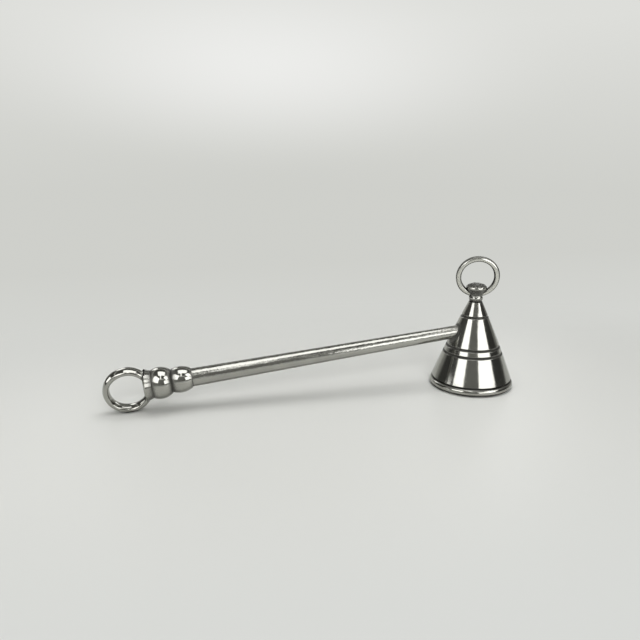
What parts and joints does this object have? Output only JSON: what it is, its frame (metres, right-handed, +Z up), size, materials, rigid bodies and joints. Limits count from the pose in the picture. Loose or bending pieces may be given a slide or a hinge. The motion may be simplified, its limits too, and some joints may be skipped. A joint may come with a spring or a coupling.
{
  "type": "candle snuffer",
  "caption": "Conical metal bell on a long tapered handle for putting out candle flames, with a swinging ring on top and a fixed ring at the handle's end.",
  "frame": {"origin": "centre of the bell's mouth, in the plane of its rim, on the surface that the snuffer rests on", "axes": "+Z up the bell's axis, the handle leaves the bell towards -X"},
  "size_m": [0.1458, 0.03, 0.0483],
  "materials": {
    "polished_pewter": "polished pewter with darkened grooves",
    "drawn_pewter": "pewter rod, polished along its length",
    "solder": "soft solder, smoothed"
  },
  "bodies": {
    "snuffer": {"bell": "polished_pewter", "finial": "polished_pewter", "handle_rod": "drawn_pewter", "solder_fillet": "solder", "handle_terminal": "polished_pewter", "end_ring": "polished_pewter"},
    "ring": {"top_ring": "polished_pewter"}
  },
  "joints": [
    {"name": "top_ring_swing", "type": "hinge", "parent": "snuffer", "child": "ring", "pos_m": [0, 0, 0.0344], "axis": [0.9455, -0.3256, 0], "range_deg": [-155, 135]}
  ]
}
